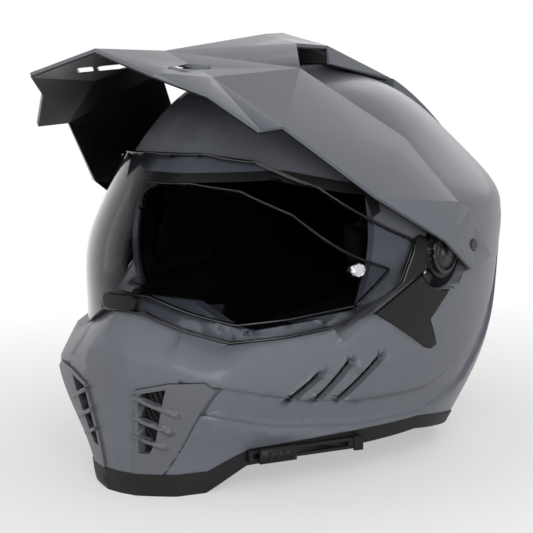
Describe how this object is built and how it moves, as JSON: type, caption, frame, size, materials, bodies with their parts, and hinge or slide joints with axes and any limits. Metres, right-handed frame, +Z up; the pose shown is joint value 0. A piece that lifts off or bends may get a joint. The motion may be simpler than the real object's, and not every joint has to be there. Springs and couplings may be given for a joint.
{
  "type": "dual sport helmet",
  "caption": "Full-face road and trail helmet with a faceted peak, clear hinged visor, hidden sun shade, vents, linings and chin strap.",
  "frame": {"origin": "middle of the bounding box at the level of the lower rim", "axes": "+Z up, -Y to the front of the helmet, +X to the wearer's left"},
  "size_m": [0.2718, 0.3338, 0.2726],
  "materials": {
    "shell_paint": "semi-gloss grey paint",
    "grey_plastic": "satin grey",
    "black_plastic": "matte black",
    "black_rubber": "matte black",
    "foam": "expanded foam",
    "black_fabric": "brushed knit",
    "strap_fabric": "woven",
    "steel": "bright",
    "clear_lens": "clear, glossy",
    "smoke_lens": "smoke tint, glossy"
  },
  "bodies": {
    "helmet": {"outer_shell": "shell_paint", "bottom_trim": "black_rubber", "eyeport_gasket": "black_rubber", "eps_liner": "foam", "crown_liner": "black_fabric", "cheek_pad_left": "black_fabric", "cheek_pad_right": "black_fabric", "neck_roll": "black_fabric", "chin_curtain": "black_fabric", "breath_guard": "black_rubber", "chin_vent_cover_left": "grey_plastic", "chin_vent_cover_right": "grey_plastic", "chin_mesh_left": "black_plastic", "chin_mesh_right": "black_plastic", "cheek_mesh_left": "black_plastic", "cheek_mesh_right": "black_plastic", "side_trim_left": "black_plastic", "side_trim_right": "black_plastic", "pivot_base_left": "black_plastic", "pivot_base_right": "black_plastic", "base_screws": "steel", "pivot_hub_left": "black_plastic", "pivot_hub_right": "black_plastic", "shade_pins": "steel", "slider_rail": "black_plastic", "peak": "shell_paint", "peak_lining": "black_plastic", "peak_screws": "black_plastic", "rear_spoiler": "shell_paint", "chin_strap_left": "strap_fabric", "chin_strap_right": "strap_fabric", "strap_rivets": "steel", "d_rings": "steel"},
    "visor": {"visor_lens": "clear_lens", "anti_fog_lens": "clear_lens", "lens_pins": "steel", "visor_tab": "black_plastic", "visor_ear_left": "black_plastic", "visor_ear_right": "black_plastic"},
    "sun_shade": {"sun_shade": "smoke_lens"},
    "shade_slider": {"shade_slider": "black_plastic"},
    "crown_vent_slider": {"crown_vent_slider": "black_plastic"}
  },
  "joints": [
    {"name": "visor_hinge", "type": "hinge", "parent": "helmet", "child": "visor", "pos_m": [0, 0.014, 0.134], "axis": [-1, 0, 0], "range_deg": [0, 30]},
    {"name": "shade_hinge", "type": "hinge", "parent": "helmet", "child": "sun_shade", "pos_m": [0, 0.014, 0.134], "axis": [1, 0, 0], "range_deg": [0, 33]},
    {"name": "shade_slide", "type": "slide", "parent": "helmet", "child": "shade_slider", "axis": [0.4758, 0.8796, 0], "range_m": [0, 0.026]},
    {"name": "crown_vent_slide", "type": "slide", "parent": "helmet", "child": "crown_vent_slider", "axis": [0, 0.866, -0.5], "range_m": [0, 0.008]}
  ],
  "couplings": [
    {"joint": "shade_slide", "follows": "shade_hinge", "m_per_rad": 0.0451}
  ]
}
